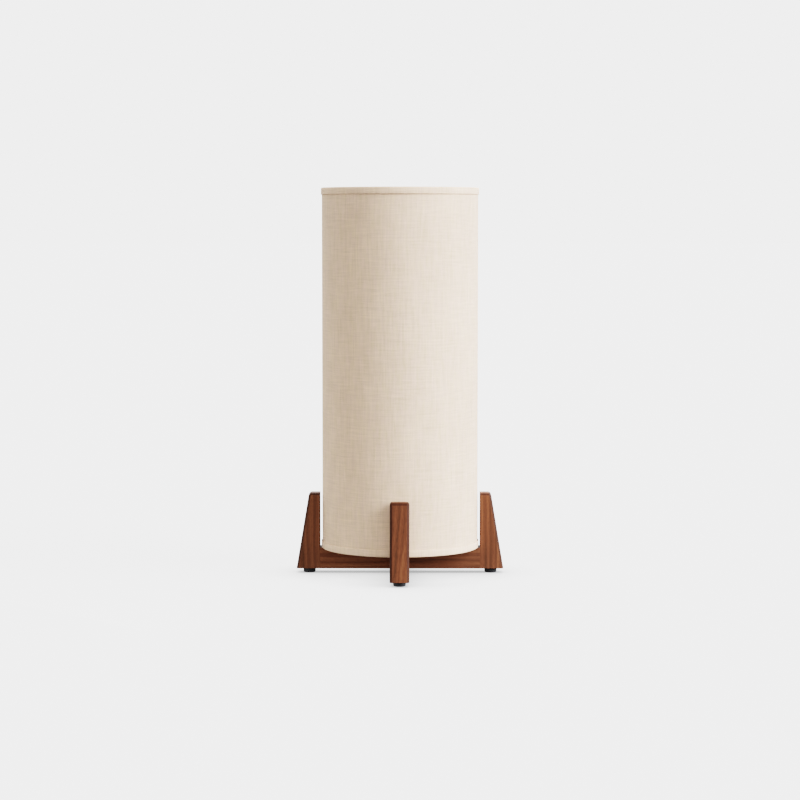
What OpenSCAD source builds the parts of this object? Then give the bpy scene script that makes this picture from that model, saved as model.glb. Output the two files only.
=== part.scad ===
// Accent lamp: a tall linen cylinder shade standing in a crossed wooden stand with four upright legs.
// Millimetres, +Z up, origin on the floor at the centre of the stand. The front leg is at -Y.

/* [Stand] */
// Height of each foot below the wood
foot_h = 7.5; // [6:0.5:10]
// Diameter of each foot
foot_d = 20; // [16:0.5:22]
// Thickness of the legs and of the rails
wood_t = 30; // [28:1:34]
// Height of the rails that carry the shade
rail_h = 33; // [30:0.5:38]
// Height of a leg
leg_h = 120; // [90:0.5:160]
// Width of a leg at its lower end, measured outward
leg_base_w = 37; // [34:0.2:44]
// Width of a leg at its upper end, measured outward
leg_top_w = 17; // [12:0.5:24]
// Chamfer along the long edges of the legs
edge_c = 2; // [1:0.5:3]

/* [Shade] */
// Outside diameter of the linen cylinder
shade_d = 246; // [230:0.2:270]
// Height of the shade with its hems
shade_h = 569; // [400:1:700]
// Height of the folded hem tape
hem_h = 11; // [9:0.5:15]
// How far the hem tape stands proud of the linen
hem_proud = 1.4; // [1:0.1:2.5]
// Gap between the hem tape and each leg
leg_gap = 2.7; // [0.6:0.1:3]
// Diameter of the wire rings in the hems
wire_d = 3.2; // [2.6:0.1:4]

/* [Lamp holder] */
// Outside diameter of the threaded pipe
pipe_d = 9.8; // [9.6:0.1:10]
// Bore of the threaded pipe
pipe_bore = 7; // [6:0.1:7.2]
// Outside diameter of the holder's external thread
holder_d = 39.7; // [39.5:0.1:39.9]
// Overall length of the bulb
bulb_l = 185; // [140:5:220]
// Diameter of the bulb's glass tube
bulb_d = 30; // [28:0.5:32]

/* [Hidden] */
$fn = 96;

// Colours
walnut = "#6f3d25";
beech = "#d2b48c";
rubber = "#26262a";
zinc = "#b9bcc0";
brass = "#c9a24f";
bakelite = "#1d1c1b";
porcelain = "#f2efe8";
linen = "#ddd0bd";
tape = "#e4dccb";
styrene = "#f7f4ee";
enamel = "#f4f4f2";

// Quarter turns of the four legs, from the one at +X
RIGHT = 0;
BACK = 90;
LEFT = 180;
FRONT = 270;
TURNS = [RIGHT, BACK, LEFT, FRONT];

cut = 0.5;   // how far a cutting shape runs past the face it opens
slip = 0.05; // gap between pieces that are pressed together

// Stand
hem_r = shade_d / 2 + hem_proud;
leg_in = hem_r + leg_gap;
leg_out = leg_in + leg_base_w;
leg_slope = atan((leg_base_w - leg_top_w) / leg_h);
rail_top = foot_h + rail_h;
lap_z = foot_h + rail_h / 2;

// Dowels: two in each butt joint
dowel_r = 4;
dowel_in_leg = 13.5;
dowel_in_rail = 20;
dowel_zs = [foot_h + rail_h * 0.27, foot_h + rail_h * 0.73];

// Feet and their screws
foot_at = leg_in + 16.9;
screw_r = 1.9;
screw_head_r = 4.2;
screw_head_h = 2.2;
screw_l = 17;
foot_recess_r = 5;
foot_recess_h = 3.2;

// Clamp under the crossing
counterbore_r = 13;
counterbore_h = 10;
washer_t = 1.5;
nut_h = 4;
nut_across_corners = 18.5;
bushing_lip = 1.4;
plate_r = 26;
plate_t = 1.5;
clamp_z = foot_h + counterbore_h;
nut_z = clamp_z - washer_t - nut_h;
pipe_z0 = foot_h + bushing_lip;

// Holder, upward from the seat plate
holder_z = rail_top + plate_t;
pipe_z1 = holder_z + 12;
cap_h = 17;
cap_r = 20.5;
core_z = holder_z + 13;
core_r = 15.2;
core_h = 12;
flange_z = holder_z + 24;
flange_h = 3.5;
flange_r = 23.5;
shell_top = holder_z + 57;
shell_in = 15.4;
seat_z = flange_z + flange_h;

// Screw threads are drawn as rings, so that a piece turns freely in its thread
thread_pitch = 3.63;
thread_wave = 0.4;
thread_mid = 12.75;
thread_gap = 0.4;
thread_wall = 0.45;
thread_turns = 4;
ring_pitch = 2.5;
ring_turns = 9;

// Bulb
bulb_z = holder_z + 31.7;
bulb_top = bulb_z + bulb_l;
bulb_cap_z = bulb_z + 4.8;
thread_z0 = bulb_z + 7;
bulb_neck_z = bulb_z + 25.8;
glass_t = 0.8;
neck_r = 11.6;
filament_z0 = bulb_z + 48;
filament_l = bulb_l - 80;
filament_at = 6;

// Shade
linen_t = 0.5;
liner_t = 0.5;
fitter_t = 1.4;
fitter_in = 20.6;
fitter_out = 28;
fitter_z = seat_z + slip;
ring_z = fitter_z + fitter_t + slip;
ring_h = 9;
trim_wall = 0.8;
wall_t = linen_t + liner_t + 0.2;
wire_ring_r = shade_d / 2 - wall_t - wire_d / 2;
trim_in = wire_ring_r - wire_d / 2 - 0.2 - trim_wall;
wire_z = trim_wall + 0.5 + wire_d / 2;
arm_r = 1.75;
arm_outer = [wire_ring_r - 1.2, rail_top + wire_z + 0.2];
arm_inner = [25.6, fitter_z - arm_r - 0.1];
ARM_TURNS = [90, 210, 330];

// ---- small shared shapes ----

// A tube round the Z axis
module tube(inner, outer, low, high) {
    rotate_extrude() translate([inner, low]) square([outer - inner, high - low]);
}

// Points of an arc round a centre
function arc(center, r, from, to, steps = 6) =
    [for (i = [0:steps]) let (a = from + (to - from) * i / steps) center + r * [cos(a), sin(a)]];

// Points of a rounded thread in section: radius against height, swinging round a mean radius
function wave(mean, swing, low, pitch, turns, steps = 6) =
    [for (i = [0:turns * steps]) [mean - swing * cos(360 * i / steps), low + pitch * i / steps]];

function reversed(points) = [for (i = [len(points) - 1:-1:0]) points[i]];

// ---- stand ----

// Side view of a leg: upright inside, sloping outside
module leg_outline() {
    polygon([
        [leg_in, foot_h],
        [leg_out, foot_h],
        [leg_in + leg_top_w, foot_h + leg_h],
        [leg_in, foot_h + leg_h],
    ]);
}

// A rectangle from x = -depth to 0 whose two outer corners are cut off
module chamfered_edge(depth, width, c) {
    polygon([
        [-depth, -width / 2],
        [-c, -width / 2],
        [0, -width / 2 + c],
        [0, width / 2 - c],
        [-c, width / 2],
        [-depth, width / 2],
    ]);
}

// Holes for the dowels of the joint at the inner face of the leg at +X
module dowel_holes() {
    for (z = dowel_zs)
        translate([leg_in - dowel_in_rail - cut, 0, z])
            rotate([0, 90, 0])
                cylinder(r = dowel_r + slip, h = dowel_in_rail + dowel_in_leg + 2 * cut);
}

module leg(turn) {
    color(walnut) rotate([0, 0, turn]) difference() {
        intersection() {
            translate([0, wood_t / 2, 0]) rotate([90, 0, 0]) linear_extrude(wood_t) leg_outline();
            translate([leg_out, 0, foot_h]) rotate([0, -leg_slope, 0])
                translate([0, 0, -leg_h]) linear_extrude(3 * leg_h) chamfered_edge(3 * leg_base_w, wood_t, edge_c);
            translate([0, 0, foot_h + leg_h]) rotate([0, -90, 0])
                translate([0, 0, -2 * leg_out]) linear_extrude(4 * leg_out) chamfered_edge(2 * leg_h, wood_t, edge_c);
        }
        dowel_holes();
        translate([foot_at, 0, foot_h - cut]) cylinder(r = screw_r + 0.1, h = screw_l + 1 + cut);
    }
}

// The whole bar, before it is halved at the crossing
module rail_bar() {
    difference() {
        translate([-leg_in, -wood_t / 2, foot_h]) cube([2 * leg_in, wood_t, rail_h]);
        for (turn = [RIGHT, LEFT]) rotate([0, 0, turn]) dowel_holes();
        translate([0, 0, foot_h - cut]) cylinder(r = pipe_d / 2 + 0.4, h = rail_h + 2 * cut);
    }
}

// What each rail leaves for the other at the crossing
module lap(low, high) {
    width = wood_t + 2 * slip;
    translate([-width / 2, -width / 2, low]) cube([width, width, high - low]);
}

module rail_side_to_side() {
    color(walnut) difference() {
        rail_bar();
        lap(lap_z, rail_top + cut);
        translate([0, 0, foot_h - cut]) cylinder(r = counterbore_r, h = counterbore_h + cut);
    }
}

module rail_front_to_back() {
    color(walnut) rotate([0, 0, BACK]) difference() {
        rail_bar();
        lap(foot_h - cut, lap_z + slip);
    }
}

module leg_dowels() {
    c = 0.8;
    l = dowel_in_leg + dowel_in_rail - 2 * slip;
    color(beech) for (turn = TURNS, z = dowel_zs)
        rotate([0, 0, turn]) translate([leg_in - dowel_in_rail + slip, 0, z]) rotate([0, 90, 0])
            rotate_extrude() polygon([[0, 0], [dowel_r - c, 0], [dowel_r, c], [dowel_r, l - c], [dowel_r - c, l], [0, l]]);
}

// Turned rubber foot with a rounded lower edge and a recess for its screw
module foot(turn) {
    r = foot_d / 2;
    taper = 0.6;
    round_r = 1.4;
    color(rubber) rotate([0, 0, turn]) translate([foot_at, 0, 0]) rotate_extrude() polygon(concat(
        [[foot_recess_r, 0]],
        arc([r - taper - round_r, round_r], round_r, -90, 0),
        [
            [r, foot_h],
            [screw_r + 0.3, foot_h],
            [screw_r + 0.3, foot_recess_h],
            [foot_recess_r, foot_recess_h],
        ]
    ));
}

// Pan-head wood screws with crossed slots
module foot_screws() {
    head_z = foot_recess_h - screw_head_h - slip;
    tip_h = 3;
    slot = [4.4, 0.9, 1];
    color(zinc) for (turn = TURNS) rotate([0, 0, turn]) translate([foot_at, 0, head_z]) difference() {
        rotate_extrude() polygon([
            [0, 0],
            [screw_head_r - 1, 0],
            [screw_head_r, 1],
            [screw_head_r, screw_head_h],
            [screw_r, screw_head_h],
            [screw_r, foot_h - head_z + screw_l - tip_h],
            [0, foot_h - head_z + screw_l],
        ]);
        for (a = [0, 90]) rotate([0, 0, a]) translate([0, 0, slot[2] / 2 - cut / 2])
            cube([slot[0], slot[1], slot[2] + cut], center = true);
    }
}

// ---- clamp through the crossing ----

module center_pipe() {
    color(zinc) tube(pipe_bore / 2, pipe_d / 2, pipe_z0, pipe_z1);
}

module clamp_nut() {
    color(zinc) difference() {
        translate([0, 0, nut_z]) cylinder(d = nut_across_corners, h = nut_h, $fn = 6);
        translate([0, 0, nut_z - cut]) cylinder(r = pipe_d / 2 + 0.1, h = nut_h + 2 * cut);
    }
}

module clamp_washer() {
    color(zinc) tube(pipe_d / 2 + 0.3, counterbore_r - 1.5, clamp_z - washer_t, clamp_z);
}

// Plastic cap over the pipe's lower end, so that no edge rubs a cord
module cord_bushing() {
    mouth = 0.6;
    color(bakelite) rotate_extrude() polygon([
        [pipe_bore / 2 + mouth, foot_h],
        [7.2, foot_h],
        [7.2, nut_z - 0.1],
        [pipe_d / 2 + slip, nut_z - 0.1],
        [pipe_d / 2 + slip, pipe_z0],
        [pipe_bore / 2, pipe_z0],
        [pipe_bore / 2, foot_h + mouth],
    ]);
}

module seat_plate() {
    color(zinc) tube(pipe_d / 2 + 0.3, plate_r, rail_top, rail_top + plate_t);
}

// ---- lamp holder ----

module socket_cap() {
    color(bakelite) translate([0, 0, holder_z]) difference() {
        rotate_extrude() polygon([
            [pipe_d / 2 + slip, 0],
            [14, 0],
            [cap_r, 8],
            [cap_r, cap_h],
            [cap_r - 2, cap_h],
            [cap_r - 2, 9],
            [13, 2.2],
            [9, 2.2],
            [9, 10],
            [pipe_d / 2 + slip, 10],
        ]);
        translate([0, 0, 6]) rotate([0, -90, 0]) cylinder(r = 1.55, h = cap_r + cut);
    }
}

// Locks the cap on the pipe
module socket_set_screw() {
    color(zinc) translate([-pipe_d / 2 - 0.1, 0, holder_z + 6]) rotate([0, -90, 0]) difference() {
        cylinder(r = 1.5, h = 8);
        translate([0, 0, 7.5]) cube([0.5, 4, 1.5], center = true);
    }
}

// Insulating block that carries the contacts
module socket_core() {
    rim = 5;
    color(porcelain) difference() {
        union() {
            tube(3, core_r, core_z, core_z + core_h);
            tube(14.2, core_r, core_z + core_h - 1, core_z + core_h + rim);
        }
        for (side = [-1, 1]) translate([side * 12, 0, core_z - cut]) cylinder(r = 1.55, h = 7 + cut);
    }
}

module socket_shell() {
    rim_r = holder_d / 2 - 1.2;
    groove = 0.35;
    thread_low = seat_z + 0.6;
    color(bakelite) rotate_extrude() polygon(concat(
        [
            [shell_in, holder_z + cap_h + slip],
            [cap_r, holder_z + cap_h + slip],
            [cap_r, flange_z],
            [flange_r, flange_z],
            [flange_r, seat_z],
            [holder_d / 2 - 2 * groove, seat_z],
        ],
        wave(holder_d / 2 - groove, groove, thread_low, ring_pitch, ring_turns, 4),
        [
            [rim_r, shell_top - 4],
            [rim_r, shell_top - 1],
            [rim_r - 1, shell_top],
            [shell_in, shell_top],
        ]
    ));
}

// Threaded metal sleeve that grips the bulb
module socket_screw_shell() {
    mean = thread_mid + thread_gap;
    inner = wave(mean, thread_wave, thread_z0, thread_pitch, thread_turns);
    outer = wave(mean + thread_wall, thread_wave, thread_z0, thread_pitch, thread_turns);
    color(brass) rotate_extrude() polygon(concat(
        [[mean - thread_wave, core_z + core_h + slip]],
        inner,
        reversed(outer),
        [[mean - thread_wave + thread_wall, core_z + core_h + slip]]
    ));
}

// Springy tongue under the bulb's tip
module socket_contact() {
    foot_z = core_z + core_h + slip;
    tip_z = bulb_z - slip;
    t = 0.6;
    color(brass) translate([0, 3, 0]) rotate([90, 0, 0]) linear_extrude(6) polygon([
        [-9, foot_z],
        [-4, foot_z],
        [2, tip_z - t],
        [5, tip_z - t],
        [5, tip_z],
        [1.6, tip_z],
        [-4.4, foot_z + t],
        [-9, foot_z + t],
    ]);
}

module terminal_screws() {
    color(brass) for (side = [-1, 1]) translate([side * 12, 0, core_z - 2]) difference() {
        union() {
            cylinder(r = 2.8, h = 2);
            cylinder(r = 1.5, h = 8);
        }
        cube([5, 0.8, 1.4], center = true);
    }
}

// ---- bulb ----

module bulb_contact() {
    color(zinc) translate([0, 0, bulb_z]) cylinder(r1 = 3.6, r2 = 4.6, h = 1.2);
}

module bulb_insulator() {
    color(bakelite) translate([0, 0, bulb_z + 1.2]) cylinder(r1 = 5.4, r2 = 10.6, h = 3.6);
}

// Threaded metal cap
module bulb_cap() {
    wall = 0.35;
    thread = wave(thread_mid, thread_wave, thread_z0, thread_pitch, thread_turns);
    color(zinc) rotate_extrude() polygon(concat(
        [[10.8 - wall, bulb_cap_z], [11.2, bulb_cap_z]],
        thread,
        [[thread_mid - thread_wave + 0.1, bulb_neck_z - 3], [thread_mid + 0.3, bulb_neck_z]],
        [[neck_r + slip, bulb_neck_z], [thread_mid - thread_wave - wall, bulb_neck_z - 3]],
        reversed([for (p = thread) p - [wall, 0]])
    ));
}

// Round circuit board with its smoothing capacitor
module bulb_driver() {
    board_z = bulb_cap_z + 4;
    color("seagreen") translate([0, 0, board_z]) {
        cylinder(r = thread_mid - thread_wave - 0.5, h = 1.2);
        translate([3, 0, 1]) cylinder(r = 3.2, h = 9);
    }
}

module bulb_glass() {
    r = bulb_d / 2;
    shoulder_z = bulb_neck_z + 9;
    neck_z0 = bulb_neck_z - 5;
    color("white", 0.3) rotate_extrude() polygon(concat(
        [[neck_r, neck_z0], [neck_r, bulb_neck_z + 1], [r, shoulder_z]],
        arc([0, bulb_top - r], r, 0, 90, 12),
        reversed(arc([0, bulb_top - r], r - glass_t, 0, 90, 12)),
        [[r - glass_t, shoulder_z], [neck_r - glass_t, bulb_neck_z + 1], [neck_r - glass_t, neck_z0]]
    ));
}

// Flared glass mount that seals the neck and holds the filaments
module bulb_stem() {
    z = bulb_neck_z - 5;
    color("white", 0.4) rotate_extrude() polygon([
        [0, z],
        [neck_r - glass_t - slip, z],
        [neck_r - glass_t - slip, z + 1],
        [4, z + 5],
        [2.4, z + 9],
        [2.2, filament_z0 - 8],
        [0, filament_z0 - 6],
    ]);
}

module bulb_filaments() {
    color("gold") for (a = [45:90:315]) rotate([0, 0, a]) translate([filament_at, 0, filament_z0])
        cylinder(r = 0.8, h = filament_l);
}

// Wires that carry the filaments: a star below, a mast and a star above
module bulb_wires() {
    r = 0.35;
    low = filament_z0 - 1;
    high = filament_z0 + filament_l + 1;
    color(zinc) {
        translate([0, 0, filament_z0 - 6 + slip]) cylinder(r = r, h = high - filament_z0 + 6);
        for (a = [45:90:315], z = [low, high]) rotate([0, 0, a]) translate([0, 0, z]) {
            rotate([0, 90, 0]) cylinder(r = r, h = filament_at + r);
            translate([filament_at, 0, z == low ? 0 : -1 + slip]) cylinder(r = r, h = 1 - slip);
        }
    }
}

// ---- shade ----

// Ribbed plastic ring that screws down on the fitter
module retaining_ring() {
    ribs = 24;
    flange = 3;
    inner = holder_d / 2 + 0.3;
    grip_r = 24.6;
    color(bakelite) difference() {
        rotate_extrude() polygon([
            [inner, ring_z],
            [fitter_out - 0.6, ring_z],
            [fitter_out - 0.6, ring_z + flange - 0.8],
            [fitter_out - 1.4, ring_z + flange],
            [grip_r, ring_z + flange],
            [grip_r, ring_z + ring_h],
            [inner, ring_z + ring_h],
        ]);
        for (i = [0:ribs - 1]) rotate([0, 0, i * 360 / ribs])
            translate([grip_r + 0.5, 0, ring_z + flange]) cylinder(r = 1.1, h = ring_h, $fn = 16);
    }
}

module fitter_ring() {
    color(enamel) tube(fitter_in, fitter_out, fitter_z, fitter_z + fitter_t);
}

// The straight line of one arm, as a rod of radius r from the wire ring up to the fitter ring
module arm_rod(r) {
    run = arm_inner[0] - arm_outer[0];
    rise = arm_inner[1] - arm_outer[1];
    translate([arm_outer[0], 0, arm_outer[1]]) rotate([0, atan2(run, rise), 0])
        cylinder(r = r, h = norm([run, rise]));
}

module wire_ring(z, r = wire_d / 2) {
    translate([0, 0, z]) rotate_extrude() translate([wire_ring_r, 0]) circle(r = r);
}

module fitter_arms() {
    color(enamel) difference() {
        for (turn = ARM_TURNS) rotate([0, 0, turn]) arm_rod(arm_r);
        wire_ring(rail_top + wire_z, wire_d / 2 + slip);
    }
}

module shade_bottom_wire() {
    color(enamel) wire_ring(rail_top + wire_z);
}

module shade_top_wire() {
    color(enamel) wire_ring(rail_top + shade_h - wire_z);
}

module shade_liner() {
    r = shade_d / 2 - linen_t - 0.1;
    edge = trim_wall + 0.1;
    color(styrene) tube(r - liner_t, r, rail_top + edge, rail_top + shade_h - edge);
}

module shade_fabric() {
    r = shade_d / 2;
    edge = trim_wall + 0.1;
    color(linen) tube(r - linen_t, r, rail_top + edge, rail_top + shade_h - edge);
}

// Tape folded round the rim, up from z = 0
module trim_profile() {
    linen_gap = shade_d / 2 + 0.1;
    corner = 0.6;
    polygon([
        [trim_in + corner, 0],
        [hem_r - corner, 0],
        [hem_r, corner],
        [hem_r, hem_h],
        [linen_gap, hem_h],
        [linen_gap, trim_wall],
        [trim_in + trim_wall, trim_wall],
        [trim_in + trim_wall, hem_h],
        [trim_in, hem_h],
        [trim_in, corner],
    ]);
}

module shade_bottom_trim() {
    color(tape) difference() {
        translate([0, 0, rail_top]) rotate_extrude() trim_profile();
        for (turn = ARM_TURNS) rotate([0, 0, turn]) arm_rod(arm_r + 0.15);
    }
}

module shade_top_trim() {
    color(tape) translate([0, 0, rail_top + shade_h]) mirror([0, 0, 1]) rotate_extrude() trim_profile();
}

// ---- nodes ----

rail_side_to_side();
rail_front_to_back();
leg(RIGHT);  // leg_right
leg(BACK);  // leg_back
leg(LEFT);  // leg_left
leg(FRONT);  // leg_front
leg_dowels();
foot(RIGHT);  // foot_right
foot(BACK);  // foot_back
foot(LEFT);  // foot_left
foot(FRONT);  // foot_front
foot_screws();
center_pipe();
clamp_nut();
clamp_washer();
cord_bushing();
seat_plate();
socket_cap();
socket_set_screw();
socket_core();
socket_shell();
socket_screw_shell();
socket_contact();
terminal_screws();
bulb_contact();
bulb_insulator();
bulb_cap();
bulb_driver();
bulb_glass();
bulb_stem();
bulb_filaments();
bulb_wires();
retaining_ring();
fitter_ring();
fitter_arms();
shade_bottom_wire();
shade_top_wire();
shade_liner();
shade_fabric();
shade_bottom_trim();
shade_top_trim();
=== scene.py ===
import bmesh
import bpy
import math
from mathutils import Matrix, Vector


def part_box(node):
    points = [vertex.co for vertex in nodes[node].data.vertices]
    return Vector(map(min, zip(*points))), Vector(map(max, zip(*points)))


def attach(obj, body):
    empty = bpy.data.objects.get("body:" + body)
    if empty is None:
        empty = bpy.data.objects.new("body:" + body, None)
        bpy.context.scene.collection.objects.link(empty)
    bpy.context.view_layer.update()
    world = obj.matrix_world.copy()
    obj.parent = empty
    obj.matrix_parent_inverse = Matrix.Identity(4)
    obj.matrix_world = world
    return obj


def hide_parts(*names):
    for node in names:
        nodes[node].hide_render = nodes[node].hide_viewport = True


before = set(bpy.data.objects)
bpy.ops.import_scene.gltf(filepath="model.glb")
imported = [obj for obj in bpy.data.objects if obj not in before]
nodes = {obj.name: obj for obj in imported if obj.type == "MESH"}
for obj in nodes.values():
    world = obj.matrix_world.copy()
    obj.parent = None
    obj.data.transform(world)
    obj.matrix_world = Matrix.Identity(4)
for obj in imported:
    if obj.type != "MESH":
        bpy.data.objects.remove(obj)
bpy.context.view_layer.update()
mm = 0.001
touching = 0.1 * mm       # nearer than this counts as in the same plane
welded = 0.001 * mm       # nearer than this is the same point
noiseRange = (0.3, 0.7)   # where nearly all of a noise pattern lies
print("frame loaded")


# ---- camera, light and floor ----

cameraSetup = {
    "distance": 3.62,      # from the lamp's axis
    "height": 0.554,       # of the lens above the floor
    "aimHeight": 0.2744,   # where it meets the lamp's axis
    "azimuth": 0.3,        # degrees round to the right
    "lens": 103.1,         # mm
    "reach": 200,
}


def placeCamera():
    s = cameraSetup
    turn = math.radians(s["azimuth"])
    data = bpy.data.cameras.new("camera")
    data.lens = s["lens"]
    data.clip_end = s["reach"]
    eye = bpy.data.objects.new("camera", data)
    eye.location = (math.sin(turn) * s["distance"], -math.cos(turn) * s["distance"], s["height"])
    aim = Vector((0, 0, s["aimHeight"])) - eye.location
    eye.rotation_euler = aim.to_track_quat("-Z", "Y").to_euler()
    bpy.context.collection.objects.link(eye)
    bpy.context.scene.camera = eye


lighting = {
    "view": "Filmic",
    "look": "High Contrast",
    "backdrop": 1.945,      # brightness of the sweep behind
    "sides": 1.22,          # the low wall at the left and right, as a share of that
    "front": 0.74,          # the low wall in front
    "ceiling": 0.46,        # the dimmer room above and in front
    "bounce": 0.09,         # what comes back up from the floor
    "wallTop": (0.14, 0.30),        # heights between which the low wall gives way to the ceiling
    "floorLine": (-0.12, -0.04),    # and the floor to the wall
    "sweep": (0.1, 0.5),            # how far back the sweep starts to hide both
    "window": {"azimuth": 68, "elevation": 28, "angle": 42, "strength": 7.5, "color": "#f4f7ff"},
    "card": {"place": (-0.46, -0.42, 0.03), "aim": (-0.09, -0.07, 0.11), "size": 0.35, "strength": 0.45,
             "color": "#fff4e6"},   # a white card low at the left
}


def linear(hexColor):
    parts = [int(hexColor[i:i + 2], 16) / 255 for i in (1, 3, 5)]
    return [c / 12.92 if c <= 0.04045 else ((c + 0.055) / 1.055) ** 2.4 for c in parts] + [1.0]


def addNode(tree, kind, inputs=None, **settings):
    made = tree.nodes.new(kind)
    for name, value in settings.items():
        setattr(made, name, value)
    for key, value in (inputs or {}).items():
        if isinstance(value, bpy.types.NodeSocket):
            tree.links.new(value, made.inputs[key])
        else:
            made.inputs[key].default_value = value
    return made


def lightScene():
    s = lighting
    bpy.context.scene.view_settings.view_transform = s["view"]
    bpy.context.scene.view_settings.look = s["look"]
    world = bpy.data.worlds.new("room")
    world.use_nodes = True
    tree = world.node_tree
    way = addNode(tree, "ShaderNodeSeparateXYZ", {0: addNode(tree, "ShaderNodeTexCoord").outputs["Generated"]})
    wall = addNode(tree, "ShaderNodeMapRange", {
        "Value": way.outputs["Y"], "From Min": -1.0, "From Max": 0.0, "To Min": s["front"], "To Max": s["sides"]})
    low = addNode(tree, "ShaderNodeMapRange", {
        "Value": way.outputs["Z"], "From Min": s["wallTop"][0], "From Max": s["wallTop"][1],
        "To Min": wall.outputs[0], "To Max": s["ceiling"]}, interpolation_type="SMOOTHSTEP")
    behind = addNode(tree, "ShaderNodeMapRange", {
        "Value": way.outputs["Y"], "From Min": s["sweep"][0], "From Max": s["sweep"][1]},
        interpolation_type="SMOOTHSTEP")
    swept = addNode(tree, "ShaderNodeMix", {"Factor": behind.outputs[0], 2: low.outputs[0], 3: 1.0},
                    data_type="FLOAT")
    lifted = addNode(tree, "ShaderNodeMapRange", {
        "Value": way.outputs["Z"], "From Min": s["floorLine"][0], "From Max": s["floorLine"][1],
        "To Min": s["bounce"], "To Max": 1.0})
    share = addNode(tree, "ShaderNodeMath", {0: swept.outputs[0], 1: lifted.outputs[0]}, operation="MULTIPLY")
    level = addNode(tree, "ShaderNodeMath", {0: share.outputs[0], 1: s["backdrop"]}, operation="MULTIPLY")
    background = tree.nodes["Background"]
    background.inputs["Color"].default_value = (1, 1, 1, 1)
    tree.links.new(level.outputs[0], background.inputs["Strength"])
    bpy.context.scene.world = world

    window = s["window"]
    sun = bpy.data.lights.new("window", "SUN")
    sun.energy = window["strength"]
    sun.angle = math.radians(window["angle"])
    sun.color = linear(window["color"])[:3]
    turn, lift = math.radians(window["azimuth"]), math.radians(window["elevation"])
    toward = Vector((math.sin(turn) * math.cos(lift), -math.cos(turn) * math.cos(lift), math.sin(lift)))
    pane = bpy.data.objects.new("window", sun)
    pane.rotation_euler = (-toward).to_track_quat("-Z", "Y").to_euler()
    pane.location = toward * 3
    bpy.context.collection.objects.link(pane)

    card = s["card"]
    white = bpy.data.lights.new("card", "AREA")
    white.energy = card["strength"]
    white.size = card["size"]
    white.color = linear(card["color"])[:3]
    sheet = bpy.data.objects.new("card", white)
    sheet.location = card["place"]
    sheet.rotation_euler = (Vector(card["aim"]) - sheet.location).to_track_quat("-Z", "Y").to_euler()
    sheet.visible_camera = False
    bpy.context.collection.objects.link(sheet)


floorSetup = {
    "radius": 60.0,
    "drop": 0.1 * mm,         # keeps it just clear of the feet
    "paint": "#e0e0e0",
    "shadowed": 0.12,         # share of the floor's light that cast shadows take away
    "glow": 2.0,
    "contact": 80 * mm,       # how far the shadow round the feet reaches
    "contactDepth": 0.85,
}


def layFloor():
    s = floorSetup
    bm = bmesh.new()
    bmesh.ops.create_circle(bm, cap_ends=True, segments=64, radius=s["radius"])
    mesh = bpy.data.meshes.new("floor")
    bm.to_mesh(mesh)
    bm.free()
    floor = bpy.data.objects.new("floor", mesh)
    floor.location.z = -s["drop"]
    bpy.context.collection.objects.link(floor)
    paint = bpy.data.materials.new("paleStudioFloor")  # matte, and lit a little from within, so shadows stay pale
    paint.use_nodes = True
    tree = paint.node_tree
    tree.nodes.clear()
    matte = addNode(tree, "ShaderNodeBsdfDiffuse", {"Color": linear(s["paint"])})
    near = addNode(tree, "ShaderNodeAmbientOcclusion", {"Distance": s["contact"]}, samples=12)
    level = addNode(tree, "ShaderNodeMapRange", {
        "Value": near.outputs["AO"], "To Min": s["glow"] * (1 - s["contactDepth"]), "To Max": s["glow"]})
    glow = addNode(tree, "ShaderNodeEmission", {"Color": (1, 1, 1, 1), "Strength": level.outputs[0]})
    both = addNode(tree, "ShaderNodeMixShader", {0: 1 - s["shadowed"], 1: matte.outputs[0], 2: glow.outputs[0]})
    addNode(tree, "ShaderNodeOutputMaterial", {"Surface": both.outputs[0]})
    mesh.materials.append(paint)
    floor.visible_diffuse = False  # the bounce is set with the room
    floor.visible_glossy = False


placeCamera()
lightScene()
layFloor()
print("camera, light and floor ready")


# ---- materials ----

def startMaterial(name, **values):
    material = bpy.data.materials.new(name)
    material.use_nodes = True
    tree = material.node_tree
    shader = tree.nodes["Principled BSDF"]
    for key, value in values.items():
        shader.inputs[key.replace("_", " ")].default_value = value
    return material, tree, shader


walnut = {
    "dark": "#533626",
    "mid": "#6e4531",
    "light": "#86593f",
    "edge": "#351c13",              # the rounded edges are drawn darker in this colour, and the pores take it too
    "ringPitch": 9 * mm,
    "ringSlant": 35,                # degrees between the growth rings and a face
    "wander": 16 * mm,              # how far the rings stray
    "grain": {                      # size across the board, size along it, fineness
        "figure": (30 * mm, 260 * mm, 2.0),
        "streak": (1.6 * mm, 70 * mm, 3.0),
        "pore": (0.6 * mm, 7 * mm, 1.0),
    },
    "weights": (0.9, 0.75, 0.13),   # of figure, streak and ring
    "toneRange": (0.45, 1.2),
    "poreRange": (0.58, 0.72),
    "poreDepth": 0.35,
    "darkEdges": (0.998, 0.93),       # the darker edges start and end where the surface is this square to a face
    "edgeDarkening": 0.8,
    "roughness": (0.56, 0.44),
    "relief": 0.1 * mm,
    "reliefStrength": 0.3,
}


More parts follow.
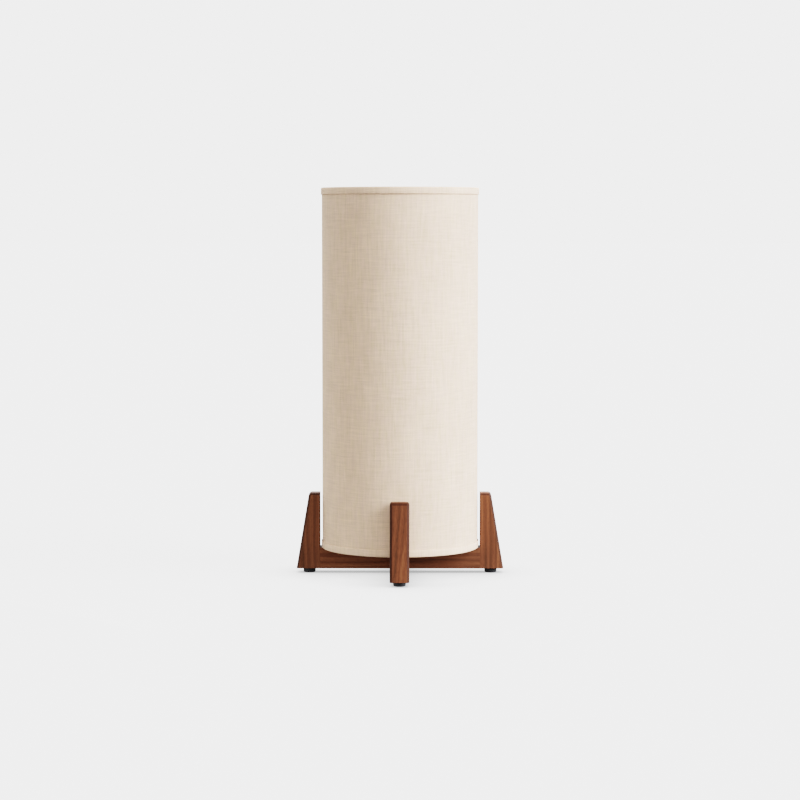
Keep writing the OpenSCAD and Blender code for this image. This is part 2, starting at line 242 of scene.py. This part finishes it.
def stainedWalnut(name, turn, boardToneAndLight=(1.0, 1.0, 1.0)):
    # walnut, stained and oiled: soft brown-red bands along the board, fine dark pores, edges a shade darker
    s = walnut
    material, tree, shader = startMaterial(name, IOR=1.45, Specular_IOR_Level=0.15)
    place = addNode(tree, "ShaderNodeTexCoord")
    along = addNode(tree, "ShaderNodeMapping", {
        "Vector": place.outputs["Object"], "Rotation": [math.radians(a) for a in turn]}).outputs[0]
    grain = {}
    for part, (across, down, detail) in s["grain"].items():
        size = addNode(tree, "ShaderNodeVectorMath",
                       {0: along, 1: (1 / across, 1 / across, 1 / down)}, operation="MULTIPLY")
        grain[part] = addNode(tree, "ShaderNodeTexNoise", {
            "Vector": size.outputs[0], "Scale": 1.0, "Detail": detail, "Roughness": 0.5}).outputs[0]
    slant = math.radians(s["ringSlant"])
    depth = addNode(tree, "ShaderNodeVectorMath",
                    {0: along, 1: (math.cos(slant), math.sin(slant), 0)}, operation="DOT_PRODUCT")
    wander = addNode(tree, "ShaderNodeMath", {0: grain["figure"], 1: s["wander"], 2: depth.outputs["Value"]},
                     operation="MULTIPLY_ADD")
    phase = addNode(tree, "ShaderNodeMath", {0: wander.outputs[0], 1: 2 * math.pi / s["ringPitch"]},
                    operation="MULTIPLY")
    ring = addNode(tree, "ShaderNodeMath", {0: phase.outputs[0]}, operation="SINE")
    parts = addNode(tree, "ShaderNodeCombineXYZ", {0: grain["figure"], 1: grain["streak"], 2: ring.outputs[0]})
    tone = addNode(tree, "ShaderNodeVectorMath", {0: parts.outputs[0], 1: s["weights"]}, operation="DOT_PRODUCT")
    spread = addNode(tree, "ShaderNodeMapRange", {
        "Value": tone.outputs["Value"], "From Min": s["toneRange"][0], "From Max": s["toneRange"][1]})
    color = addNode(tree, "ShaderNodeValToRGB", {"Fac": spread.outputs[0]})
    color.color_ramp.elements[0].color = linear(s["dark"])
    color.color_ramp.elements[1].color = linear(s["light"])
    color.color_ramp.elements.new(0.5).color = linear(s["mid"])
    opened = addNode(tree, "ShaderNodeMapRange", {
        "Value": grain["pore"], "From Min": s["poreRange"][0], "From Max": s["poreRange"][1],
        "To Max": s["poreDepth"]})
    porous = addNode(tree, "ShaderNodeMix", {
        "Factor": opened.outputs[0], 6: color.outputs["Color"], 7: linear(s["edge"])}, data_type="RGBA")
    facing = addNode(tree, "ShaderNodeVectorMath", {0: place.outputs["Normal"]}, operation="ABSOLUTE")
    sides = addNode(tree, "ShaderNodeSeparateXYZ", {0: facing.outputs[0]})
    wider = addNode(tree, "ShaderNodeMath", {0: sides.outputs[0], 1: sides.outputs[1]}, operation="MAXIMUM")
    widest = addNode(tree, "ShaderNodeMath", {0: wider.outputs[0], 1: sides.outputs[2]}, operation="MAXIMUM")
    # the rounded edges drawn darker, by how far the surface turns away from the faces
    rounded = addNode(tree, "ShaderNodeMapRange", {
        "Value": widest.outputs[0], "From Min": s["darkEdges"][0], "From Max": s["darkEdges"][1],
        "To Max": s["edgeDarkening"]}, interpolation_type="SMOOTHSTEP")
    darkEdges = addNode(tree, "ShaderNodeMix", {
        "Factor": rounded.outputs[0], 6: porous.outputs[2], 7: linear(s["edge"])}, data_type="RGBA")
    # the board's own tone, and on the right and left legs painted light as well
    toned = addNode(tree, "ShaderNodeVectorMath", {0: darkEdges.outputs[2], 1: boardToneAndLight}, operation="MULTIPLY")
    tree.links.new(toned.outputs[0], shader.inputs["Base Color"])
    sheen = addNode(tree, "ShaderNodeMapRange", {
        "Value": grain["streak"], "From Min": noiseRange[0], "From Max": noiseRange[1],
        "To Min": s["roughness"][0], "To Max": s["roughness"][1]})
    tree.links.new(sheen.outputs[0], shader.inputs["Roughness"])
    sunk = addNode(tree, "ShaderNodeMath", {0: grain["streak"], 1: opened.outputs[0]}, operation="SUBTRACT")
    bump = addNode(tree, "ShaderNodeBump", {
        "Height": sunk.outputs[0], "Strength": s["reliefStrength"], "Distance": s["relief"]})
    tree.links.new(bump.outputs[0], shader.inputs["Normal"])
    return material


linenCloth = {
    "flax": "#d7bc9e",              # the greener threads
    "rose": "#dcbea7",              # and the pinker ones
    "warpPitch": 1.2 * mm,          # the real threads are 0.6 mm apart: drawn twice as coarse, so that they show
    "weftPitch": 1.4 * mm,
    "threads": {                    # a thread's own tone, how long it lasts along the thread, and a seed
        "warp": (7.31, 42 * mm, 3.7),
        "weft": (5.17, 26 * mm, 9.1),
    },
    "patches": {                    # size across, size up, and a seed
        "slubUp": (2.6 * mm, 46 * mm, 1.3),         # bundles of thicker threads
        "slubAcross": (46 * mm, 2.6 * mm, 6.1),
        "cloud": (70 * mm, 110 * mm, 5.9),
        "tint": (5 * mm, 18 * mm, 7.7),
    },
    "weights": (0.7, 0.7, 0.5),     # of the slubs up and across and the cloud
    "meanTone": 1.45,
    "contrast": 0.46,
    "crossing": 0.3,                # how sharply one thread gives way to the other
    "gaps": 0.90,                   # painted shade: brightness between two threads
    "gapWidth": 0.6,                # how far up a thread's side the painted shade of the gap reaches
    "relief": 0.16 * mm,
    "reliefStrength": 0.4,
    "heights": (0.8, 0.6, 1.0),     # of the slubs, the thread's tone and its roundness
}


def wovenLinen(name, pale):
    # undyed slubby linen, plain weave: fine crossing threads of slightly uneven colour and thickness, matte
    s = linenCloth
    material, tree, shader = startMaterial(
        name, Roughness=0.92, IOR=1.45, Specular_IOR_Level=0.15,
        Sheen_Weight=0.25, Sheen_Roughness=0.5, Sheen_Tint=linear("#fbf6ee"))
    cut = addNode(tree, "ShaderNodeUVMap", uv_map="cut").outputs[0]
    at = addNode(tree, "ShaderNodeSeparateXYZ", {0: cut})
    count = addNode(tree, "ShaderNodeVectorMath", {0: cut, 1: (1 / s["warpPitch"], 1 / s["weftPitch"], 0)},
                    operation="MULTIPLY").outputs[0]
    whole = addNode(tree, "ShaderNodeVectorMath", {0: count}, operation="FLOOR")
    number = addNode(tree, "ShaderNodeSeparateXYZ", {0: whole.outputs[0]})
    warps = addNode(tree, "ShaderNodeCombineXYZ", {0: number.outputs["X"], 1: at.outputs["Y"]}).outputs[0]
    wefts = addNode(tree, "ShaderNodeCombineXYZ", {0: number.outputs["Y"], 1: at.outputs["X"]}).outputs[0]
    layers = {part: (warps if part == "warp" else wefts, own, 1 / length, seed)
              for part, (own, length, seed) in s["threads"].items()}
    for part, (across, up, seed) in s["patches"].items():
        layers[part] = (cut, 1 / across, 1 / up, seed)
    tones = {}
    for part, (where, across, up, seed) in layers.items():
        spot = addNode(tree, "ShaderNodeVectorMath", {0: where, 1: (across, up, 0), 2: (0, 0, seed)},
                       operation="MULTIPLY_ADD")
        tones[part] = addNode(tree, "ShaderNodeTexNoise", {
            "Vector": spot.outputs[0], "Scale": 1.0, "Detail": 2.0, "Roughness": 0.6}).outputs[0]

    swing = addNode(tree, "ShaderNodeVectorMath", {0: count, 1: (math.pi, math.pi, 0)}, operation="MULTIPLY")
    wave = addNode(tree, "ShaderNodeVectorMath", {0: swing.outputs[0]}, operation="SINE")
    waves = addNode(tree, "ShaderNodeSeparateXYZ", {0: wave.outputs[0]})
    thick = addNode(tree, "ShaderNodeVectorMath", {0: wave.outputs[0]}, operation="ABSOLUTE")
    swells = addNode(tree, "ShaderNodeSeparateXYZ", {0: thick.outputs[0]})
    crossing = addNode(tree, "ShaderNodeMath", {0: waves.outputs["X"], 1: waves.outputs["Y"]}, operation="MULTIPLY")
    over = addNode(tree, "ShaderNodeMapRange", {
        "Value": crossing.outputs[0], "From Min": -s["crossing"], "From Max": s["crossing"]})
    thread = addNode(tree, "ShaderNodeMix", {
        "Factor": over.outputs[0], 2: tones["weft"], 3: tones["warp"]}, data_type="FLOAT")
    swell = addNode(tree, "ShaderNodeMix", {
        "Factor": over.outputs[0], 2: swells.outputs["Y"], 3: swells.outputs["X"]}, data_type="FLOAT")

    uneven = addNode(tree, "ShaderNodeCombineXYZ", {0: tones["slubUp"], 1: tones["slubAcross"], 2: tones["cloud"]})
    slubs = addNode(tree, "ShaderNodeVectorMath", {0: uneven.outputs[0], 1: s["weights"]}, operation="DOT_PRODUCT")
    tone = addNode(tree, "ShaderNodeMath", {0: thread.outputs[0], 1: slubs.outputs["Value"]}, operation="ADD")
    # pale lifts the whole cloth; for the tape it is painted light
    drift = addNode(tree, "ShaderNodeMath", {
        0: tone.outputs[0], 1: s["contrast"], 2: 1 + pale - s["meanTone"] * s["contrast"]},
        operation="MULTIPLY_ADD")
    # painted shade in the gaps between the threads
    gap = addNode(tree, "ShaderNodeMapRange", {
        "Value": swell.outputs[0], "From Max": s["gapWidth"], "To Min": s["gaps"]})
    level = addNode(tree, "ShaderNodeMath", {0: drift.outputs[0], 1: gap.outputs[0]}, operation="MULTIPLY")
    hue = addNode(tree, "ShaderNodeMapRange", {
        "Value": tones["tint"], "From Min": noiseRange[0], "From Max": noiseRange[1]})
    color = addNode(tree, "ShaderNodeMix", {
        "Factor": hue.outputs[0], 6: linear(s["flax"]), 7: linear(s["rose"])}, data_type="RGBA")
    shaded = addNode(tree, "ShaderNodeVectorMath", {0: color.outputs[2], "Scale": level.outputs[0]},
                     operation="SCALE")
    tree.links.new(shaded.outputs[0], shader.inputs["Base Color"])
    stack = addNode(tree, "ShaderNodeCombineXYZ", {0: slubs.outputs["Value"], 1: thread.outputs[0],
                                                   2: swell.outputs[0]})
    height = addNode(tree, "ShaderNodeVectorMath", {0: stack.outputs[0], 1: s["heights"]}, operation="DOT_PRODUCT")
    bump = addNode(tree, "ShaderNodeBump", {
        "Height": height.outputs["Value"], "Strength": s["reliefStrength"], "Distance": s["relief"]})
    tree.links.new(bump.outputs[0], shader.inputs["Normal"])
    return material


fittingCloud = 14 * mm     # how far apart a fitting's lighter and darker patches are
fittingBump = 0.4


def fittingFinish(name, shades, grit, roughness, relief, **values):
    # a base colour that drifts between two close shades, with a fine grit in the surface
    material, tree, shader = startMaterial(name, **values)
    place = addNode(tree, "ShaderNodeTexCoord").outputs["Object"]
    cloud = addNode(tree, "ShaderNodeTexNoise", {"Vector": place, "Scale": 1 / fittingCloud, "Detail": 3.0})
    fine = addNode(tree, "ShaderNodeTexNoise", {"Vector": place, "Scale": 1 / grit, "Detail": 2.0})
    color = addNode(tree, "ShaderNodeMix", {
        "Factor": cloud.outputs[0], 6: linear(shades[0]), 7: linear(shades[1])}, data_type="RGBA")
    tree.links.new(color.outputs[2], shader.inputs["Base Color"])
    rough = addNode(tree, "ShaderNodeMapRange", {
        "Value": fine.outputs[0], "From Min": noiseRange[0], "From Max": noiseRange[1],
        "To Min": roughness[0], "To Max": roughness[1]})
    tree.links.new(rough.outputs[0], shader.inputs["Roughness"])
    bump = addNode(tree, "ShaderNodeBump", {
        "Height": fine.outputs[0], "Strength": fittingBump, "Distance": relief})
    tree.links.new(bump.outputs[0], shader.inputs["Normal"])
    return material


glassWave = {"length": 30 * mm, "strength": 0.1, "depth": 0.2 * mm}


def blownGlass(name):
    # blown soda glass: colourless, smooth, with the faintest waviness
    material, tree, shader = startMaterial(
        name, Base_Color=linear("#fbfdfc"), Roughness=0.02, IOR=1.5, Transmission_Weight=1.0)
    place = addNode(tree, "ShaderNodeTexCoord").outputs["Object"]
    wave = addNode(tree, "ShaderNodeTexNoise", {
        "Vector": place, "Scale": 1 / glassWave["length"], "Detail": 1.0})
    bump = addNode(tree, "ShaderNodeBump", {
        "Height": wave.outputs[0], "Strength": glassWave["strength"], "Distance": glassWave["depth"]})
    tree.links.new(bump.outputs[0], shader.inputs["Normal"])
    return material


# one board for each leg: the same walnut, each with its own run of grain; the front one is a darker, redder board,
# while the right one is painted paler as painted light where the window falls and the left one painted lighter and
# cooler as painted fill light in the shadow of the shade
legBoards = {
    "right": stainedWalnut("stainedWalnutPaintedLightBoard", (0, 0, 37), (1.10, 1.10, 1.10)),
    "back": stainedWalnut("stainedWalnutBackBoard", (0, 0, 113)),
    "left": stainedWalnut("stainedWalnutPaintedFillBoard", (0, 0, 0), (1.03, 1.09, 1.14)),
    "front": stainedWalnut("stainedWalnutRedBoard", (0, 0, 61), (0.85, 0.77, 0.69)),
}
sideRailWalnut = stainedWalnut("stainedWalnutSideRail", (0, 90, 0), (1.02, 1.04, 1.06))
longRailWalnut = stainedWalnut("stainedWalnutLongRail", (90, 0, 0))
linen = wovenLinen("wovenLinen", 0.0)
hemTape = wovenLinen("wovenLinenTape", 0.05)    # the same cloth cut as tape, a touch paler: painted light standing in for the floor's light on the bottom hem

# two close shades, size of the grit, roughness, depth of the relief
finishes = {
    # turned beech: pale, dry and even
    "turnedBeech": (("#c9a877", "#dcc095"), 0.8 * mm, (0.55, 0.7), 0.1 * mm),
    # moulded rubber: near black, dull, with a fine mould grain
    "mouldedRubber": (("#1d1e20", "#2b2c2f"), 0.5 * mm, (0.55, 0.75), 0.06 * mm),
    # zinc-plated steel: cool grey, softly shiny, a little cloudy
    "zincPlatedSteel": (("#b4b8bb", "#c8cacb"), 0.6 * mm, (0.25, 0.42), 0.03 * mm),
    # pressed brass: warm yellow, with the fine drag of the tool
    "pressedBrass": (("#b98f4a", "#cfa963"), 0.6 * mm, (0.22, 0.36), 0.03 * mm),
    # moulded phenolic: brown-black, glossy, faintly mottled
    "mouldedPhenolic": (("#141210", "#211e1b"), 0.9 * mm, (0.25, 0.38), 0.04 * mm),
    # glazed porcelain: creamy white under a hard gloss
    "glazedPorcelain": (("#ebe7dd", "#f4f1ea"), 1.5 * mm, (0.10, 0.18), 0.03 * mm),
    # phosphor in silicone, dipped: deep yellow and matte
    "dippedPhosphor": (("#d9a62c", "#efc550"), 0.4 * mm, (0.55, 0.7), 0.08 * mm),
    # laminated glass-fibre board: dark green, half glossy, with the cloth just showing
    "laminatedFibreglass": (("#16482c", "#1f5f3a"), 0.6 * mm, (0.35, 0.5), 0.04 * mm),
    # powder-coated steel: warm white with a slight orange peel
    "powderCoatedSteel": (("#e4e3dd", "#f1f0eb"), 0.7 * mm, (0.32, 0.45), 0.06 * mm),
    # calendered styrene: milky white, satin
    "calenderedStyrene": (("#eee9de", "#f6f3ea"), 0.5 * mm, (0.5, 0.62), 0.05 * mm),
}
metals = ("zincPlatedSteel", "pressedBrass")
fittings = {name: fittingFinish(name, *look, Metallic=float(name in metals)) for name, look in finishes.items()}
fittings["blownGlass"] = blownGlass("blownGlass")

nodeFinish = {
    "turnedBeech": ["leg_dowels"],
    "mouldedRubber": ["foot_right", "foot_back", "foot_left", "foot_front"],
    "zincPlatedSteel": ["foot_screws", "center_pipe", "clamp_nut", "clamp_washer", "seat_plate",
                        "socket_set_screw", "bulb_contact", "bulb_cap", "bulb_wires"],
    "pressedBrass": ["socket_screw_shell", "socket_contact", "terminal_screws"],
    "mouldedPhenolic": ["cord_bushing", "socket_cap", "socket_shell", "retaining_ring", "bulb_insulator"],
    "glazedPorcelain": ["socket_core"],
    "dippedPhosphor": ["bulb_filaments"],
    "laminatedFibreglass": ["bulb_driver"],
    "powderCoatedSteel": ["fitter_ring", "fitter_arms", "shade_bottom_wire", "shade_top_wire"],
    "calenderedStyrene": ["shade_liner"],
    "blownGlass": ["bulb_glass", "bulb_stem"],
}
for finish, names in nodeFinish.items():
    for name in names:
        slot = nodes[name].material_slots[0]
        slot.link = "OBJECT"
        slot.material = fittings[finish]
print("materials ready")


# ---- pieces ----

def finishPiece(bm, name, body, replaced, material, sharpAngle=35, recalculate=True):
    if recalculate:
        bmesh.ops.recalc_face_normals(bm, faces=bm.faces[:])
    mesh = bpy.data.meshes.new(name)
    bm.to_mesh(mesh)
    bm.free()
    for face in mesh.polygons:
        face.use_smooth = True
    mesh.set_sharp_from_angle(angle=math.radians(sharpAngle))
    mesh.materials.append(material)
    piece = bpy.data.objects.new(name, mesh)
    bpy.context.collection.objects.link(piece)
    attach(piece, body)
    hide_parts(*replaced)
    return piece


def easeEdges(piece, width, segments):
    bevel = piece.modifiers.new("easedEdges", "BEVEL")
    bevel.width = width
    bevel.segments = segments
    bevel.profile = 0.5
    bevel.limit_method = "WEIGHT"
    bevel.harden_normals = True
    bevel.use_clamp_overlap = True


sanding = {"width": 0.25 * mm, "segments": 2, "sharperThan": 50}


def breakCorners(piece):
    # fine paper takes the sharpness off whatever is still square
    bevel = piece.modifiers.new("sanded", "BEVEL")
    bevel.width = sanding["width"]
    bevel.segments = sanding["segments"]
    bevel.limit_method = "ANGLE"
    bevel.angle_limit = math.radians(sanding["sharperThan"])
    bevel.harden_normals = True
    bevel.use_clamp_overlap = True


legShape = {"topWidth": 17 * mm, "round": 4.2 * mm, "segments": 6}


def makeLeg(side, quarterTurns):
    # shaped as the leg at +X, then turned into its place
    s = legShape
    low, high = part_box("leg_right")
    bm = bmesh.new()
    bmesh.ops.create_cube(bm, size=1.0)
    size = high - low
    bmesh.ops.scale(bm, vec=size, verts=bm.verts)
    bmesh.ops.translate(bm, vec=(low + high) / 2, verts=bm.verts)
    for v in bm.verts:
        if v.co.z > low.z + size.z / 2 and v.co.x > low.x + size.x / 2:
            v.co.x = low.x + s["topWidth"]
    weights = bm.edges.layers.float.new("bevel_weight_edge")
    for edge in bm.edges:
        a, b = (v.co for v in edge.verts)
        atInner = max(a.x, b.x) < low.x + touching
        atBottom = max(a.z, b.z) < low.z + touching
        edge[weights] = 0.0 if atInner or atBottom else 1.0
    turned = Matrix.Rotation(quarterTurns * math.pi / 2, 3, "Z")
    bmesh.ops.rotate(bm, cent=(0, 0, 0), matrix=turned, verts=bm.verts)
    piece = finishPiece(bm, "leg" + side.capitalize(), "stand", ["leg_" + side],
                        legBoards[side])
    easeEdges(piece, s["round"], s["segments"])
    breakCorners(piece)
    return piece


railShape = {"ease": 0.8 * mm, "segments": 4, "lengthways": 0.9, "flat": 1}


def makeRail(name, node, axis, material):
    # the bar as it was machined, with its halving and its holes, and its edges eased with sandpaper
    bm = bmesh.new()
    bm.from_mesh(nodes[node].data)
    bmesh.ops.remove_doubles(bm, verts=bm.verts, dist=welded)
    bmesh.ops.dissolve_limit(bm, angle_limit=math.radians(railShape["flat"]), verts=bm.verts, edges=bm.edges)
    low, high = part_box(node)
    weights = bm.edges.layers.float.new("bevel_weight_edge")
    for edge in bm.edges:
        a, b = (v.co for v in edge.verts)
        lengthways = abs(b[axis] - a[axis]) > railShape["lengthways"] * (b - a).length
        atSide = min(abs(a[1 - axis] - low[1 - axis]), abs(a[1 - axis] - high[1 - axis])) < touching
        atFace = min(abs(a.z - low.z), abs(a.z - high.z)) < touching
        edge[weights] = float(lengthways and atSide and atFace)
    piece = finishPiece(bm, name, "stand", [node], material)
    easeEdges(piece, railShape["ease"], railShape["segments"])
    breakCorners(piece)
    return piece


for quarterTurns, side in enumerate(("right", "back", "left", "front")):
    makeLeg(side, quarterTurns)
makeRail("railSideToSide", "rail_side_to_side", 0, sideRailWalnut)
makeRail("railFrontToBack", "rail_front_to_back", 1, longRailWalnut)
print("stand built")


coverShape = {
    "seamTurn": 90,           # degrees: the seam stands at the back
    "overlap": 12 * mm,
    "lift": 0.45 * mm,        # how far the lapped end rises over the first
    "ramp": 3 * mm,
    "thickness": 0.42 * mm,
    "columns": 288,
    "rows": 48,
}


def easeIn(t):
    t = min(max(t, 0.0), 1.0)
    return t * t * (3 - 2 * t)


def wrapCover():
    # cut flat, then wrapped round the liner with its end lapped over its start
    s = coverShape
    low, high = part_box("shade_fabric")
    radius = high.x - s["thickness"] / 2
    girth = 2 * math.pi * radius
    length, height = girth + s["overlap"], high.z - low.z
    bm = bmesh.new()
    bmesh.ops.create_grid(bm, x_segments=s["columns"], y_segments=s["rows"], size=0.5)
    cut = bm.loops.layers.uv.new("cut")
    for face in bm.faces:
        for loop in face.loops:
            loop[cut].uv = ((loop.vert.co.x + 0.5) * length, (loop.vert.co.y + 0.5) * height)
    for v in bm.verts:
        along, up = (v.co.x + 0.5) * length, (v.co.y + 0.5) * height
        turn = math.radians(s["seamTurn"]) + along / radius
        out = radius + s["lift"] * easeIn((along - girth + s["ramp"]) / s["ramp"])
        v.co = (out * math.cos(turn), out * math.sin(turn), low.z + up)
    cover = finishPiece(bm, "linenCover", "shade", ["shade_fabric"], linen)
    wall = cover.modifiers.new("clothThickness", "SOLIDIFY")
    wall.thickness = s["thickness"]
    wall.offset = 0
    return cover, (length, height)


hemShape = {
    "thickness": 0.75 * mm,
    "fold": 0.5 * mm,       # roundness of the turned edge
    "rim": 1.7 * mm,        # roundness over the wire
    "lapTurn": 97,          # degrees: where the tape's end laps over its start
    "lapWidth": 9 * mm,
    "lapLift": 0.5 * mm,
    "lapRise": 1.2 * mm,    # how far the lap takes to climb over the first end
    "lapFall": 0.8 * mm,    # and its cut end to drop again
    "insideFold": 0.6,      # the inner turned edge, as a share of the outer one
    "clearance": 0.1 * mm,  # between the tape and the cloth
    "tuck": 0.3 * mm,       # how far the tape's upper edge leans out
    "wrapIn": 4.2 * mm,     # from the wire's outer side to the tape's inner one
    "unevenness": 0.14 * mm,
    "waves": ((23, 1.0), (41, 2.2), (67, 0.0)),   # the cut edge's waves round the shade, and their starts
    "steps": 300,
}


def arc(centerR, centerZ, size, start, end, steps=5):
    turns = [math.radians(start + (end - start) * i / steps) for i in range(steps + 1)]
    return [(centerR + size * math.cos(t), centerZ + size * math.sin(t)) for t in turns]


def foldHem(name, node, rimUp):
    # tape folded round the wire: down the outside, over the rim and up the inside; heights run from the rim
    s = hemShape
    low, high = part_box(node)
    outer, depth = high.x, high.z - low.z
    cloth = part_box("shade_fabric")[1].x + s["clearance"]
    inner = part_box("shade_top_wire")[1].x - s["wrapIn"]
    t, fold, rim = s["thickness"], s["fold"], s["rim"]
    outline = arc(outer - fold, depth - fold, fold, 90, 0, 3)
    outline += arc(outer - rim, rim, rim, 0, -90)
    outline += arc(inner + rim, rim, rim, -90, -180)
    outline += arc(inner + fold * s["insideFold"], depth - fold, fold * s["insideFold"], 180, 0, 4)
    outline += [(inner + t, rim)] + arc(inner + rim, rim, rim - t, 180, 270, 3)
    outline += arc(cloth - rim, rim, rim - t, 270, 360, 3)
    outline += [(cloth, depth - fold), (cloth + s["tuck"], depth)]
    bm = bmesh.new()
    ring = [bm.verts.new((r, 0, z)) for r, z in outline]
    edges = [bm.edges.new((a, b)) for a, b in zip(ring, ring[1:] + ring[:1])]
    bmesh.ops.spin(bm, geom=ring + edges, cent=(0, 0, 0), axis=(0, 0, 1),
                   angle=2 * math.pi, steps=s["steps"], use_merge=True)
    bmesh.ops.remove_doubles(bm, verts=bm.verts, dist=welded)
    cut = bm.loops.layers.uv.new("cut")
    for face in bm.faces:
        middle = face.calc_center_median()
        base = math.atan2(middle.y, middle.x)
        for loop in face.loops:
            p = loop.vert.co
            turn = math.atan2(p.y, p.x)
            turn += 2 * math.pi * round((base - turn) / (2 * math.pi))
            reach = math.hypot(p.x, p.y)
            loop[cut].uv = ((turn + math.pi) * outer, p.z - (outer - reach) + 0.01)
    for v in bm.verts:
        turn, reach = math.atan2(v.co.y, v.co.x), math.hypot(v.co.x, v.co.y)
        past = (turn - math.radians(s["lapTurn"])) * outer
        lap = easeIn((past + s["lapWidth"]) / s["lapRise"]) * easeIn(-past / s["lapFall"] + 0.5)
        wobble = sum(math.sin(count * turn + start) for count, start in s["waves"])
        share = easeIn(v.co.z / depth)
        if reach > cloth - s["clearance"] / 2:   # the outer layer only
            grow = 1 + lap * s["lapLift"] / reach
            v.co.x *= grow
            v.co.y *= grow
            v.co.z -= (wobble + len(s["waves"])) * s["unevenness"] / len(s["waves"]) * share
    if rimUp:
        bmesh.ops.scale(bm, vec=(1, 1, -1), verts=bm.verts)
    bmesh.ops.translate(bm, vec=(0, 0, high.z if rimUp else low.z), verts=bm.verts)
    return finishPiece(bm, name, "shade", [node], hemTape, 60)


cover, flat = wrapCover()
topHem = foldHem("topHem", "shade_top_trim", True)
bottomHem = foldHem("bottomHem", "shade_bottom_trim", False)
print("shade covered and hemmed")
